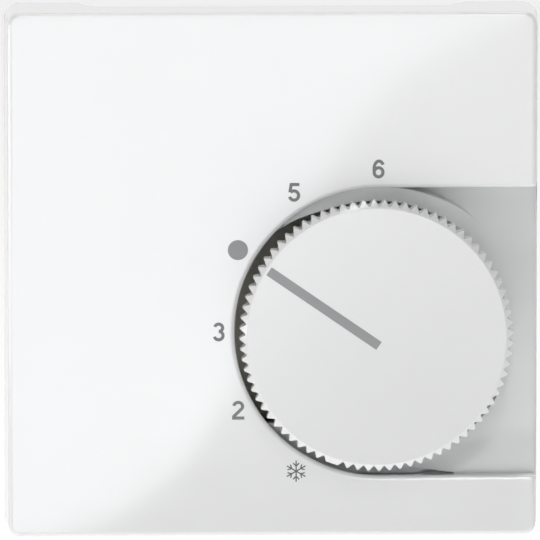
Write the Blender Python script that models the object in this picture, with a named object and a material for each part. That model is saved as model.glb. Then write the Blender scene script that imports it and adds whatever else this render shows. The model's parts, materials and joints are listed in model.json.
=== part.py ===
"""Flush-mounted room thermostat.

A 55 mm square cover has a toothed setting knob standing in a recess that is open to the
right-hand edge. Behind it sits the insert that goes into a round wall box: a steel support
ring with spreading claws, and a housing with the bimetal switch and its terminals.

Frame: +X is right and +Z is up as the user sees the thermostat, and the front faces -Y.
The wall plane is y = 0 and the origin is at the middle of the cover. Sizes are in millimetres
and MM turns them into metres. Outlines are lists of (x, z) points, anticlockwise from the front.
"""

import math

import bmesh
import bpy
from mathutils import Matrix, Vector

MM = 0.001

GAP = 0.3
TOUCH = 0.1  # between a small contact, rivet or nut and the piece that it is fixed to
OVERLONG = 1.0  # how far a cutter passes the face that it opens
TUCK = 0.2  # how far a joined shape reaches into its neighbour

COVER_SIDE = 55.0
COVER_FRONT_Y = -6.4
COVER_REAR_Y = -GAP
COVER_CORNER = 1.25
COVER_EDGE = 0.5
COVER_WALL = 1.6
SKIRT_WALL = 1.4
SKIRT_DRAFT = 0.33
AIR_SLOT_Y = -2.4
AIR_SLOT_HALF = 17.8
AIR_SLOT_SLOPE = 1.8

DIAL_X = 10.75
DIAL_Z = -5.95
DIAL_MIN = -60.0  # degrees from the stored setting, to the warmest mark
DIAL_MAX = 90.0  # degrees from the stored setting, to the frost mark

RECESS_X = 11.25
RECESS_RADIUS = 15.05
RECESS_FLOOR_Y = -3.1
RECESS_FLOOR = 1.4
AIR_GAP_RADII = (12.75, 14.8)  # the slot under the knob's rim, through which room air reaches the switch
AIR_GAP_ANGLES = (140.0, 332.0)
LEDGE_INNER = 13.6  # the crescent step above the knob's drum
LEDGE_OUTER = RECESS_RADIUS + 0.2
LEDGE_ANGLES = (48.0, 134.0)
LEDGE_FRONT_Y = -5.3

KNOB_FRONT_Y = -10.2
KNOB_REAR_Y = RECESS_FLOOR_Y - 0.4
KNOB_CHAMFER = 0.4
KNURL_REAR_Y = -8.2  # the toothed rim is a flange in front, on a plain drum
DRUM_FRONT_Y = -7.4
DRUM_RADIUS = 13.2
KNOB_FACE_RADIUS = 13.5
KNOB_VALLEY_RADIUS = 13.75
KNOB_TIP_RADIUS = 14.2
KNOB_TEETH = 80
KNOB_TOP = 1.5
KNOB_INNER_RADIUS = 12.4
HUB_RADIUS = 4.0
HUB_REAR_Y = -3.7

SPINDLE_RADIUS = 2.5
SPINDLE_FLAT = 1.8
SPINDLE_REAR_Y = 9.9
COLLAR_RADIUS = 3.6
GROOVE_RADIUS = 1.8

STOP_ANGLE = 315.0
STOP_RADII = (8.7, 11.7)
STOP_WIDTH = 1.6
STOP_FRONT_Y = -6.2
RING_FRONT_Y = -8.4
RING_REAR_Y = -6.6
TAB_REAR_Y = -4.8
TAB_WIDTH = 1.4
TAB_LEAD = 11.0  # degrees between a tab's middle and the stop's middle when they meet
MIN_RING_RADII = (10.4, 11.9)
MAX_RING_RADII = (8.5, 10.1)

CAM_FRONT_Y = 1.2
CAM_REAR_Y = 3.2
CAM_RADIUS = 5.0
CAM_LIFT = 2.0  # over the whole turning range of the dial
CAM_MARGIN = 10.0  # degrees of spiral beyond each end of the range
CAM_POINTS = 48

FOLLOWER_HALF = 1.5
FOLLOWER_REAR_Y = 5.7
FOLLOWER_TOP = 14.0  # heights of the follower are above the dial's axis
FOLLOWER_BAR = 5.8
NOSE_RADIUS = 0.7
WEDGE_LEFT = -3.85
WEDGE_Y = (3.9, 5.1)
WEDGE_HEIGHTS = (2.05, 1.3)  # below the follower's top, at the wedge's front and rear
PEG_TOP = 16.0
PEG_RADIUS = 1.1
SPRING_BOTTOM = 14.3
SPRING_TOP = 20.6
SPRING_RADIUS = 1.9
SPRING_WIRE = 0.4
SPRING_TURNS = 6
SPRING_STEPS = 8

DECK_FRONT_Y = 6.0
DECK_REAR_Y = 7.5
DECK_HALF = (20.1, 17.1)
DECK_CHAMFER = 4.2
DECK_SCREWS = ((17.3, 12.5), (-17.3, 12.5), (-17.3, -12.5), (17.3, -12.5))
COVER_SCREW = (4.95, -11.75)
COVER_SCREW_RADIUS = 1.2
COVER_SCREW_BOSS = 2.6
COVER_SCREW_BOSS_Y = 3.6

HOUSING_HALF = (22.0, 19.0)
HOUSING_CHAMFER = 5.0
HOUSING_WALL = 1.6
HOUSING_INNER_CHAMFER = 4.3
HOUSING_FRONT_Y = 0.3
HOUSING_REAR_Y = 24.0
POST_REAR_Y = 10.7
LUG_REAR_Y = 2.5

RING_HALF = 25.5
RING_CORNER = 3.0
RING_THICKNESS = 1.0
RING_OPENING = (19.4, 16.4)
RING_OPENING_CHAMFER = 4.5
BOX_SCREW_AT = 21.2  # 60 mm pitch across the diagonal
BOX_SLOT_RADIUS = 1.75
BOX_SLOT_HALF = 1.5
RIVETS = ((23.6, 11.0), (-23.6, 11.0), (-23.6, -11.0), (23.6, -11.0))

CLAW_PIVOT_Y = 1.2
CLAW_PIVOT_Z = 23.8
CLAW_HALF = 4.5
CLAW_THICKNESS = 1.0
CLAW_LENGTH = 15.4  # behind the pivot
CLAW_SCREW_Z = 21.7
CLAW_SCREW_RADIUS = 1.15
CLAW_SCREW_HOLE = 1.6
CLAW_PIN = 0.5
CLAW_TONGUE = 3.2
CLAW_RIDGES = 3
CLAW_RIDGE_PITCH = 1.6
CLAW_RIDGE = 0.7
CLAW_FORK_HALF = 1.55
CLAW_SCREW_REAR_Y = 20.5
CLAW_NUT_Y = 17.0
CLAW_NUT_HALF = 2.2

STRIP_X = -12.0
STRIP_HALF = 3.0
STRIP_Y = (3.0, 3.6)
STRIP_Z = (-15.3, 15.5)
STRIP_CLAMP_Z = -11.0
STRIP_CLAMP = 0.8
STRIP_RIVETS = ((-13.6, -13.2), (-10.4, -13.2))
CONTACT_Z = 9.0
CONTACT_RADIUS = 1.3
ARM_Y = (5.45, 5.85)
ARM_X = (-14.5, 8.4)
ARM_Z = (6.3, 10.7)
ARM_RIVET_X = -4.5

TERMINALS = (-13.5, -4.5, 4.5, 13.5)
BLOCK_Y = (11.0, 21.9)
BLOCK_Z = (-16.9, -7.6)
BLOCK_HALF = 19.6
BLOCK_CHAMFER = 3.9
CAGE_Y = (13.3, 21.3)
CAGE_Z = (-14.2, -8.6)
CAGE_HALF = 3.0
WIRE_HALF = 1.9
WIRE_Z = (-12.4, -9.4)
WIRE_ENTRY_Z = (-12.6, -8.8)
TERMINAL_SCREW_Y = 18.6
BUSBAR_Z = (-11.6, -11.0)
BUSBAR_HALF = 1.5
BUSBAR_TAB_Y = (7.8, 8.4)

# Holes, and small fixings inside
SMALL_HOLE = 1.0
DECK_HOLE = 1.2
SCREW_HOLE = 1.3
CALIBRATION_SCREW = (-6.2, -13.5)
GUIDE_FRONT_Y = 0.8
GUIDE_WALL = 1.3
GUIDE_TOPS = (4.4, 7.5)
SPRING_STAND_HALF = 2.4
RESISTOR_AT = (-5.0, 3.6, -4.0)
RESISTOR_LEAD = 0.3
RESISTOR_REACH = (4.6, 5.2)
RESISTOR_PROFILE = (
    (-3.5, 0.9),
    (-3.2, 1.2),
    (-2.4, 1.2),
    (-2.1, 1.0),
    (2.1, 1.0),
    (2.4, 1.2),
    (3.2, 1.2),
    (3.5, 0.9),
)

# Materials: name, colour, roughness, metallic.
MATERIALS = {
    "white_gloss_plastic": ((0.86, 0.87, 0.88), 0.12, 0.0),
    "white_knob_plastic": ((0.84, 0.85, 0.86), 0.28, 0.0),
    "natural_plastic": ((0.78, 0.77, 0.72), 0.4, 0.0),
    "grey_plastic": ((0.42, 0.43, 0.44), 0.45, 0.0),
    "blue_plastic": ((0.05, 0.18, 0.55), 0.4, 0.0),
    "red_plastic": ((0.6, 0.05, 0.04), 0.4, 0.0),
    "zinc_steel": ((0.62, 0.63, 0.65), 0.32, 1.0),
    "brass": ((0.72, 0.55, 0.25), 0.3, 1.0),
    "copper": ((0.75, 0.4, 0.28), 0.3, 1.0),
    "bimetal": ((0.55, 0.52, 0.47), 0.28, 1.0),
    "silver": ((0.85, 0.85, 0.86), 0.2, 1.0),
    "ferrite": ((0.06, 0.06, 0.065), 0.55, 0.0),
    "resistor_enamel": ((0.62, 0.5, 0.33), 0.4, 0.0),
}


def clear_scene():
    for old in list(bpy.data.objects):
        bpy.data.objects.remove(old)


def make_material(name):
    colour, roughness, metallic = MATERIALS[name]
    material = bpy.data.materials.new(name)
    material.use_nodes = True
    shader = material.node_tree.nodes["Principled BSDF"]
    shader.inputs["Base Color"].default_value = (*colour, 1.0)
    shader.inputs["Roughness"].default_value = roughness
    shader.inputs["Metallic"].default_value = metallic
    material.diffuse_color = (*colour, 1.0)
    return material


def datum(name, x=0.0, y=0.0, z=0.0):
    """An empty that pieces are placed from, on a joint's axis or at a fixing."""
    empty = bpy.data.objects.new(name, None)
    empty.location = Vector((x, y, z)) * MM
    bpy.context.collection.objects.link(empty)
    return empty


# Outlines


def polar(radius, degrees, x=0.0, z=0.0):
    angle = math.radians(degrees)
    return (x + radius * math.cos(angle), z + radius * math.sin(angle))


def arc(radius, start, end, steps, x=0.0, z=0.0):
    return [polar(radius, start + (end - start) * i / steps, x, z) for i in range(steps + 1)]


def circle(radius, steps, x=0.0, z=0.0):
    return [polar(radius, 360.0 * i / steps, x, z) for i in range(steps)]


def rectangle(x0, x1, z0, z1):
    return [(x0, z0), (x1, z0), (x1, z1), (x0, z1)]


def rounded(half, radius, steps=4):
    """A square outline with rounded corners."""
    inner = half - radius
    outline = []
    for start, x, z in ((0, inner, inner), (90, -inner, inner), (180, -inner, -inner), (270, inner, -inner)):
        outline += arc(radius, start, start + 90, steps, x, z)
    return outline


def chamfered(half, chamfer):
    """A rectangle with cut corners."""
    a, b = half
    return [
        (a, -b + chamfer),
        (a, b - chamfer),
        (a - chamfer, b),
        (-a + chamfer, b),
        (-a, b - chamfer),
        (-a, -b + chamfer),
        (-a + chamfer, -b),
        (a - chamfer, -b),
    ]


def u_outline(radius, right):
    """The recess seen from the front: a half circle on the left, and open to the right."""
    outline = arc(radius, 90, 270, 36, RECESS_X, DIAL_Z)
    return outline + [(right, DIAL_Z - radius), (right, DIAL_Z + radius)]


def d_outline(radius, flat):
    """A circle with a flat on top."""
    side = math.degrees(math.acos(flat / radius))
    return arc(radius, 90 + side, 450 - side, 20)


# Solids. Each starts as an object at the origin, and place() names it and puts it at its datum.


def solid(bm):
    mesh = bpy.data.meshes.new("mesh")
    bm.to_mesh(mesh)
    bm.free()
    piece = bpy.data.objects.new("piece", mesh)
    bpy.context.collection.objects.link(piece)
    return piece


def loft(levels, closed=False):
    """A solid through (y, outline) levels from front to rear, back through its bore if closed."""
    bm = bmesh.new()
    loops = []
    for y, outline in levels:
        loops.append([bm.verts.new(Vector((x, y, z)) * MM) for x, z in outline])
    count = len(loops[0])
    pairs = list(zip(loops, loops[1:]))
    if closed:
        pairs.append((loops[-1], loops[0]))
    for front, rear in pairs:
        for i in range(count):
            j = (i + 1) % count
            bm.faces.new((front[i], rear[i], rear[j], front[j]))
    if not closed:
        bm.faces.new(loops[0])
        bm.faces.new(loops[-1][::-1])
    return solid(bm)


def prism(outline, y0, y1):
    return loft([(y0, outline), (y1, outline)])


def box(x, y, z):
    """A box from (low, high) pairs."""
    return prism(rectangle(*x, *z), *y)


def cylinder(radius, y0, y1, x=0.0, z=0.0, steps=24):
    return prism(circle(radius, steps, x, z), y0, y1)


def turned(profile, x=0.0, z=0.0, steps=24):
    """A turned solid through (y, radius) from front to rear."""
    return loft([(y, circle(radius, steps, x, z)) for y, radius in profile])


def ring(radii, y0, y1, steps=40):
    inner, outer = (circle(radius, steps) for radius in radii)
    return loft([(y0, outer), (y1, outer), (y1, inner), (y0, inner)], closed=True)


def turn(piece, degrees, axis, about=(0.0, 0.0, 0.0)):
    """Turns the piece's mesh about a line through a point."""
    centre = Vector(about) * MM
    matrix = Matrix.Rotation(math.radians(degrees), 4, axis)
    piece.data.transform(Matrix.Translation(centre) @ matrix @ Matrix.Translation(-centre))
    return piece


def shift(piece, x=0.0, y=0.0, z=0.0):
    piece.data.transform(Matrix.Translation(Vector((x, y, z)) * MM))
    return piece


def upright(piece):
    """Turns what was made along Y to stand along Z, with its front end down."""
    return turn(piece, 90, "X")


def combine(piece, tools, operation):
    """Joins or cuts the piece with the tools, and removes them."""
    for tool in tools:
        modifier = piece.modifiers.new("combine", "BOOLEAN")
        modifier.operation = operation
        modifier.solver = "EXACT"
        modifier.object = tool
    bpy.context.view_layer.update()
    evaluated = piece.evaluated_get(bpy.context.evaluated_depsgraph_get())
    mesh = bpy.data.meshes.new_from_object(evaluated)
    piece.modifiers.clear()
    piece.data = mesh
    for tool in tools:
        bpy.data.objects.remove(tool)
    return piece


def cut(piece, *tools):
    return combine(piece, tools, "DIFFERENCE")


def join(piece, *tools):
    return combine(piece, tools, "UNION")


def place(piece, name, material, parent=None):
    piece.name = name
    piece.data.name = name
    piece.data.materials.clear()
    piece.data.materials.append(material)
    if piece.type == "MESH":
        piece.data.shade_smooth()
        piece.data.set_sharp_from_angle(angle=math.radians(30))
    piece.parent = parent
    return piece


# The cover and what the user turns


def cover_shell():
    side = COVER_SIDE / 2
    levels = []
    for angle in (0, 30, 60, 90):
        inset = COVER_EDGE * (1 - math.sin(math.radians(angle)))
        y = COVER_FRONT_Y + COVER_EDGE * (1 - math.cos(math.radians(angle)))
        levels.append((y, rounded(side - inset, COVER_CORNER - inset)))
    levels.append((COVER_REAR_Y, rounded(side + SKIRT_DRAFT, COVER_CORNER + SKIRT_DRAFT)))
    inside = side - SKIRT_WALL
    corner = COVER_CORNER - COVER_EDGE
    cavity = loft(
        [
            (COVER_FRONT_Y + COVER_WALL, rounded(inside, corner)),
            (OVERLONG, rounded(inside + SKIRT_DRAFT, corner)),
        ]
    )
    return cut(loft(levels), cavity)


def air_slot(side):
    """The cutter for the air gap in the middle of the top (side 1) or bottom (side -1) edge."""
    wide = AIR_SLOT_HALF + AIR_SLOT_SLOPE * (OVERLONG - AIR_SLOT_Y) / (COVER_REAR_Y - AIR_SLOT_Y)
    narrow = AIR_SLOT_HALF
    outline = [(-wide, -OVERLONG), (wide, -OVERLONG), (narrow, -AIR_SLOT_Y), (-narrow, -AIR_SLOT_Y)]
    inner = COVER_SIDE / 2 - 2 * SKIRT_WALL
    cutter = upright(prism(outline, inner, inner + 3 * SKIRT_WALL))
    if side < 0:
        turn(cutter, 180, "Y")
    return cutter


def air_gap(front, rear):
    """The cutter for the curved slot through the recess floor, under the left side of the knob."""
    inner, outer = AIR_GAP_RADII
    start, end = AIR_GAP_ANGLES
    outline = arc(outer, start, end, 40) + arc(inner, end, start, 40)
    return shift(prism(outline, front, rear), DIAL_X, 0, DIAL_Z)


def ledge():
    """The crescent step between the knob's drum and the recess wall."""
    start, end = LEDGE_ANGLES
    outline = arc(LEDGE_OUTER, start, end, 24, RECESS_X, DIAL_Z)
    outline += arc(LEDGE_INNER, end, start, 24, DIAL_X, DIAL_Z)
    return prism(outline, LEDGE_FRONT_Y, RECESS_FLOOR_Y + TUCK)


def stop_post():
    low, high = STOP_RADII
    half = STOP_WIDTH / 2
    post = box((low, high), (STOP_FRONT_Y, RECESS_FLOOR_Y + TUCK), (-half, half))
    return shift(turn(post, -STOP_ANGLE, "Y"), DIAL_X, 0, DIAL_Z)


def make_cover():
    floor_rear = RECESS_FLOOR_Y + RECESS_FLOOR
    tub_outline = u_outline(RECESS_RADIUS + SKIRT_WALL, COVER_SIDE / 2 - COVER_EDGE)
    tub = prism(tub_outline, COVER_FRONT_Y + COVER_WALL / 2, floor_rear)
    shell = join(cover_shell(), tub)
    recess = prism(u_outline(RECESS_RADIUS, COVER_SIDE), COVER_FRONT_Y - OVERLONG, RECESS_FLOOR_Y)
    shell = cut(shell, recess)
    front = RECESS_FLOOR_Y - OVERLONG
    rear = floor_rear + OVERLONG
    spindle_hole = cylinder(SPINDLE_RADIUS + 2 * GAP, front, rear, DIAL_X, DIAL_Z)
    screw_hole = cylinder(COVER_SCREW_RADIUS + GAP, front, rear, *COVER_SCREW)
    shell = cut(shell, spindle_hole, screw_hole, air_gap(front, rear), air_slot(1), air_slot(-1))
    return join(shell, ledge(), stop_post())


def tooth_outline(tip, valley):
    outline = []
    for i in range(KNOB_TEETH):
        outline.append(polar(tip, 360.0 * i / KNOB_TEETH))
        outline.append(polar(valley, 360.0 * (i + 0.5) / KNOB_TEETH))
    return outline


def make_knob():
    teeth = tooth_outline(KNOB_TIP_RADIUS, KNOB_VALLEY_RADIUS)
    body = loft(
        [
            (KNOB_FRONT_Y, circle(KNOB_FACE_RADIUS, 2 * KNOB_TEETH)),
            (KNOB_FRONT_Y + KNOB_CHAMFER, teeth),
            (KNURL_REAR_Y, teeth),
            (DRUM_FRONT_Y, circle(DRUM_RADIUS, 2 * KNOB_TEETH)),
            (KNOB_REAR_Y, circle(DRUM_RADIUS, 2 * KNOB_TEETH)),
        ]
    )
    inside_y = KNOB_FRONT_Y + KNOB_TOP
    hollow = ring((HUB_RADIUS, KNOB_INNER_RADIUS), inside_y, OVERLONG)
    hub_end = cylinder(KNOB_INNER_RADIUS - OVERLONG, HUB_REAR_Y, OVERLONG)
    bore = prism(d_outline(SPINDLE_RADIUS + GAP, SPINDLE_FLAT + GAP), inside_y, OVERLONG)
    return cut(body, hollow, hub_end, bore)


def make_limit_ring(radii, tab_angle):
    low, high = radii
    half = TAB_WIDTH / 2
    tab = box((low + TOUCH, high - TOUCH), (RING_REAR_Y - TUCK, TAB_REAR_Y), (-half, half))
    return join(ring(radii, RING_FRONT_Y, RING_REAR_Y), turn(tab, -tab_angle, "Y"))


def make_spindle():
    r = SPINDLE_RADIUS
    tip = KNOB_FRONT_Y + KNOB_TOP + GAP
    collar_rear = DECK_FRONT_Y - GAP
    groove = DECK_REAR_Y + 2 * TOUCH
    body = turned(
        [
            (tip, r - GAP),
            (tip + GAP, r),
            (CAM_REAR_Y + GAP, r),
            (CAM_REAR_Y + GAP, COLLAR_RADIUS),
            (collar_rear, COLLAR_RADIUS),
            (collar_rear, r),
            (groove, r),
            (groove, GROOVE_RADIUS),
            (groove + 1, GROOVE_RADIUS),
            (groove + 1, r),
            (SPINDLE_REAR_Y - GAP, r),
            (SPINDLE_REAR_Y, r - GAP),
        ],
        steps=20,
    )
    flat = box((-2 * r, 2 * r), (tip - OVERLONG, RECESS_FLOOR_Y), (SPINDLE_FLAT, 2 * r))
    return cut(body, flat)


def make_clip():
    """An open retaining ring in the spindle's groove."""
    front = DECK_REAR_Y + 2 * TOUCH + 2 * TOUCH
    outline = arc(4.2, 120, 420, 24) + arc(GROOVE_RADIUS + GAP, 420, 120, 24)
    return prism(outline, front, front + 0.6)


# The setting mechanism


def cam_radius(degrees):
    """A spiral over the dial's range, which the follower rides at 90 degrees, then a smooth return."""
    per_radian = CAM_LIFT / math.radians(DIAL_MAX - DIAL_MIN)
    first = 90 - DIAL_MAX - CAM_MARGIN
    last = 90 - DIAL_MIN + CAM_MARGIN
    turned_by = (degrees - first) % 360
    spiral = last - first
    if turned_by <= spiral:
        return CAM_RADIUS + per_radian * math.radians(90 - first - turned_by)
    part = (turned_by - spiral) / (360 - spiral)
    smooth = part * part * (3 - 2 * part)
    low = CAM_RADIUS + per_radian * math.radians(90 - last)
    return low + smooth * per_radian * math.radians(spiral)


def make_cam():
    outer = [polar(cam_radius(a * 360 / CAM_POINTS), a * 360 / CAM_POINTS) for a in range(CAM_POINTS)]
    inner = circle(SPINDLE_RADIUS + GAP, CAM_POINTS)
    levels = [(CAM_FRONT_Y, outer), (CAM_REAR_Y, outer), (CAM_REAR_Y, inner), (CAM_FRONT_Y, inner)]
    return loft(levels, closed=True)


def make_follower():
    """A slider above the cam, with its nose down, a wedge on its left and a peg for the spring."""
    half = FOLLOWER_HALF
    nose_z = CAM_RADIUS + GAP + NOSE_RADIUS
    shoulder = FOLLOWER_TOP - 1
    outline = arc(NOSE_RADIUS, 200, 340, 6, 0, nose_z)
    outline += [(half, nose_z + half), (half, shoulder), (-half, shoulder), (-half, nose_z + half)]
    slider = prism(outline, CAM_FRONT_Y, CAM_REAR_Y)
    bar_z = (FOLLOWER_TOP - FOLLOWER_BAR, FOLLOWER_TOP)
    bar = box((-half, half), (CAM_FRONT_Y - TUCK, FOLLOWER_REAR_Y), bar_z)
    levels = []
    for y, height in zip(WEDGE_Y, WEDGE_HEIGHTS):
        levels.append((y, rectangle(WEDGE_LEFT, -half + TUCK, FOLLOWER_TOP - height, FOLLOWER_TOP - TOUCH)))
    peg = upright(cylinder(PEG_RADIUS, FOLLOWER_TOP - TUCK, PEG_TOP, 0, -spring_y(), 16))
    return join(slider, bar, loft(levels), peg)


def spring_y():
    return (CAM_FRONT_Y + CAM_REAR_Y) / 2


def make_spring():
    """A coil of round wire that stands on the follower's shoulder."""
    low = SPRING_BOTTOM + SPRING_WIRE / 2
    high = SPRING_TOP - SPRING_WIRE / 2
    count = SPRING_TURNS * SPRING_STEPS
    curve = bpy.data.curves.new("follower_spring", "CURVE")
    curve.dimensions = "3D"
    curve.bevel_depth = SPRING_WIRE / 2 * MM
    curve.bevel_resolution = 1
    curve.use_fill_caps = True
    spline = curve.splines.new("POLY")
    spline.points.add(count)
    for i, point in enumerate(spline.points):
        x, y = polar(SPRING_RADIUS, 360 * i / SPRING_STEPS, 0, spring_y())
        point.co = (x * MM, y * MM, (low + (high - low) * i / count) * MM, 1)
    coil = bpy.data.objects.new("follower_spring", curve)
    bpy.context.collection.objects.link(coil)
    return coil


def deck_stands(into):
    """What stands on the deck's front: the strip's seat, the follower's guides, the spring's stop, a boss."""
    rail_low = DIAL_Z + CAM_RADIUS + CAM_LIFT + GAP
    near = FOLLOWER_HALF + GAP
    far = near + GUIDE_WALL
    left_top, right_top = GUIDE_TOPS
    strip = (STRIP_X - STRIP_HALF, STRIP_X + STRIP_HALF)
    stop = (DIAL_X - SPRING_STAND_HALF, DIAL_X + SPRING_STAND_HALF)
    return [
        box(strip, (STRIP_Y[1] + GAP, into), (STRIP_Z[0], STRIP_CLAMP_Z)),
        box((DIAL_X - far, DIAL_X - near), (GUIDE_FRONT_Y, into), (rail_low, left_top)),
        box((DIAL_X + near, DIAL_X + far), (GUIDE_FRONT_Y, into), (rail_low, right_top)),
        box(stop, (TUCK, into), (DIAL_Z + SPRING_TOP + GAP, DECK_HALF[1] - GAP)),
        cylinder(COVER_SCREW_BOSS, COVER_SCREW_BOSS_Y, into, *COVER_SCREW),
    ]


def make_deck():
    front, rear = DECK_FRONT_Y, DECK_REAR_Y
    plate = prism(chamfered(DECK_HALF, DECK_CHAMFER), front, rear)
    plate = join(plate, *deck_stands(front + TUCK))
    before = front - OVERLONG
    after = rear + OVERLONG
    holes = [
        cylinder(SPINDLE_RADIUS + GAP, before, after, DIAL_X, DIAL_Z),
        cylinder(COVER_SCREW_RADIUS + GAP, COVER_SCREW_BOSS_Y - OVERLONG, after, *COVER_SCREW),
        cylinder(DECK_HOLE, before, after, ARM_RIVET_X, CONTACT_Z, 16),
        cylinder(DECK_HOLE, before, after, *CALIBRATION_SCREW, 16),
    ]
    holes += [cylinder(SCREW_HOLE, before, after, x, z, 16) for x, z in DECK_SCREWS]
    holes += [cylinder(SMALL_HOLE, STRIP_Y[1], front - GAP, x, z, 12) for x, z in STRIP_RIVETS]
    return cut(plate, *holes)


def screw(head_radius, head_y, shank_radius, shank_y, rear_y, x=0.0, z=0.0):
    """A cheese-head screw pointing to the rear, with a slot."""
    body = turned(
        [
            (head_y, head_radius - TUCK),
            (head_y + TUCK, head_radius),
            (shank_y, head_radius),
            (shank_y, shank_radius),
            (rear_y - TUCK, shank_radius),
            (rear_y, shank_radius - TUCK),
        ],
        x,
        z,
        12,
    )
    depth = (shank_y - head_y) / 2
    reach = head_radius + OVERLONG
    slot = box((x - reach, x + reach), (head_y - OVERLONG, head_y + depth), (z - 0.3, z + 0.3))
    return cut(body, slot)


# The bimetal switch


def make_strip():
    strip = box((STRIP_X - STRIP_HALF, STRIP_X + STRIP_HALF), STRIP_Y, STRIP_Z)
    before = STRIP_Y[0] - OVERLONG
    after = STRIP_Y[1] + OVERLONG
    return cut(strip, *[cylinder(SMALL_HOLE, before, after, x, z, 12) for x, z in STRIP_RIVETS])


def make_strip_clamp():
    rear = STRIP_Y[0] - GAP
    front = rear - STRIP_CLAMP
    clamp = box((STRIP_X - STRIP_HALF, STRIP_X + STRIP_HALF), (front, rear), (STRIP_Z[0], STRIP_CLAMP_Z))
    holes = [cylinder(SMALL_HOLE, front - 1.2, rear + OVERLONG, x, z, 12) for x, z in STRIP_RIVETS]
    return cut(clamp, *holes)


def rivet(x, z, head_radius, head_y, shank_radius, shank_y, rear_y):
    profile = [
        (head_y, head_radius - TUCK),
        (head_y + TUCK, head_radius),
        (shank_y, head_radius),
        (shank_y, shank_radius),
        (rear_y, shank_radius),
    ]
    return turned(profile, x, z, 12)


def make_strip_rivet(x, z):
    front = STRIP_Y[0] - GAP - STRIP_CLAMP - TOUCH
    return rivet(x, z, SMALL_HOLE + GAP, front - 0.6, SMALL_HOLE - GAP, front, DECK_FRONT_Y - 2 * GAP)


def make_contact_arm():
    arm = box(ARM_X, ARM_Y, ARM_Z)
    hole = cylinder(SMALL_HOLE, ARM_Y[0] - OVERLONG, ARM_Y[1] + OVERLONG, ARM_RIVET_X, CONTACT_Z, 12)
    return cut(arm, hole)


def make_resistor():
    """A small enamelled body with its two leads bent back to the deck."""
    near, far = RESISTOR_REACH
    thick = (-RESISTOR_LEAD, RESISTOR_LEAD)
    leads = [box(thick, (-far, far), thick)]
    for end in (-1, 1):
        leads.append(box(thick, sorted((end * near, end * far)), (-2.1, 0.2)))
    return shift(upright(join(turned(RESISTOR_PROFILE, steps=12), *leads)), *RESISTOR_AT)


# The insert in the wall


def housing_additions():
    """The posts that the deck is screwed to, inside, and the lugs that the ring is riveted to, outside."""
    additions = []
    for x, z in DECK_SCREWS:
        outer = math.copysign(HOUSING_HALF[0] - 1, x)
        inner = x - math.copysign(2, x)
        additions.append(box(sorted((inner, outer)), (DECK_REAR_Y + GAP, POST_REAR_Y), (z - 2, z + 2)))
    for x, z in RIVETS:
        inner = math.copysign(HOUSING_HALF[0] - 1, x)
        outer = x + math.copysign(1.8, x)
        additions.append(box(sorted((inner, outer)), (HOUSING_FRONT_Y, LUG_REAR_Y), (z - 2.5, z + 2.5)))
    return additions


def make_housing():
    inner_half = (HOUSING_HALF[0] - HOUSING_WALL, HOUSING_HALF[1] - HOUSING_WALL)
    shell = prism(chamfered(HOUSING_HALF, HOUSING_CHAMFER), HOUSING_FRONT_Y, HOUSING_REAR_Y)
    inside = chamfered(inner_half, HOUSING_INNER_CHAMFER)
    shell = cut(shell, prism(inside, HOUSING_FRONT_Y - OVERLONG, HOUSING_REAR_Y - HOUSING_WALL))
    shell = join(shell, *housing_additions())
    front = HOUSING_FRONT_Y - OVERLONG
    holes = [cylinder(SCREW_HOLE, DECK_REAR_Y, POST_REAR_Y + OVERLONG, x, z, 12) for x, z in DECK_SCREWS]
    holes += [cylinder(SCREW_HOLE, front, LUG_REAR_Y + OVERLONG, x, z, 12) for x, z in RIVETS]
    bottom = -HOUSING_HALF[1]
    rear = (HOUSING_REAR_Y - 3, HOUSING_REAR_Y + OVERLONG)
    for x in TERMINALS:
        holes.append(box((x - WIRE_HALF, x + WIRE_HALF), rear, WIRE_ENTRY_Z))
        holes.append(upright(cylinder(WIRE_HALF, bottom - OVERLONG, bottom + 3, x, -TERMINAL_SCREW_Y, 16)))
    return cut(shell, *holes)


def box_screw_slot(quadrant):
    """The cutter for a wall-box screw, across the diagonal, so that the thermostat can be levelled."""
    right = arc(BOX_SLOT_RADIUS, -90, 90, 8, BOX_SLOT_HALF, 0)
    left = arc(BOX_SLOT_RADIUS, 90, 270, 8, -BOX_SLOT_HALF, 0)
    slot = prism(right + left, -RING_THICKNESS - OVERLONG, OVERLONG)
    turn(slot, 45, "Y")
    shift(slot, BOX_SCREW_AT, 0, BOX_SCREW_AT)
    return turn(slot, 90 * quadrant, "Y")


def claw_ears(side):
    """The two bent ears behind the ring that a claw pivots in."""
    ears = []
    for end in (-1, 1):
        x = sorted((end * (CLAW_HALF + 0.4), end * (CLAW_HALF + 1.3)))
        z = sorted((side * (CLAW_PIVOT_Z - 1), side * (CLAW_PIVOT_Z + 1)))
        ears.append(box(x, (-RING_THICKNESS / 2, 2 * CLAW_PIVOT_Y), z))
    return ears


def make_support_ring():
    plate = prism(rounded(RING_HALF, RING_CORNER), -RING_THICKNESS, 0)
    plate = join(plate, *claw_ears(1), *claw_ears(-1))
    front = -RING_THICKNESS - OVERLONG
    holes = [prism(chamfered(RING_OPENING, RING_OPENING_CHAMFER), front, OVERLONG)]
    holes += [cylinder(CLAW_SCREW_HOLE, front, OVERLONG, 0, side * CLAW_SCREW_Z, 16) for side in (1, -1)]
    holes += [cylinder(SCREW_HOLE, front, OVERLONG, x, z, 12) for x, z in RIVETS]
    holes += [box_screw_slot(quadrant) for quadrant in range(4)]
    for side in (1, -1):
        pivot = turn(cylinder(CLAW_PIN + GAP, -CLAW_HALF - 3, CLAW_HALF + 3, 0, 0, 12), 90, "Z")
        holes.append(shift(pivot, 0, CLAW_PIVOT_Y, side * CLAW_PIVOT_Z))
    return cut(plate, *holes)


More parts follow.
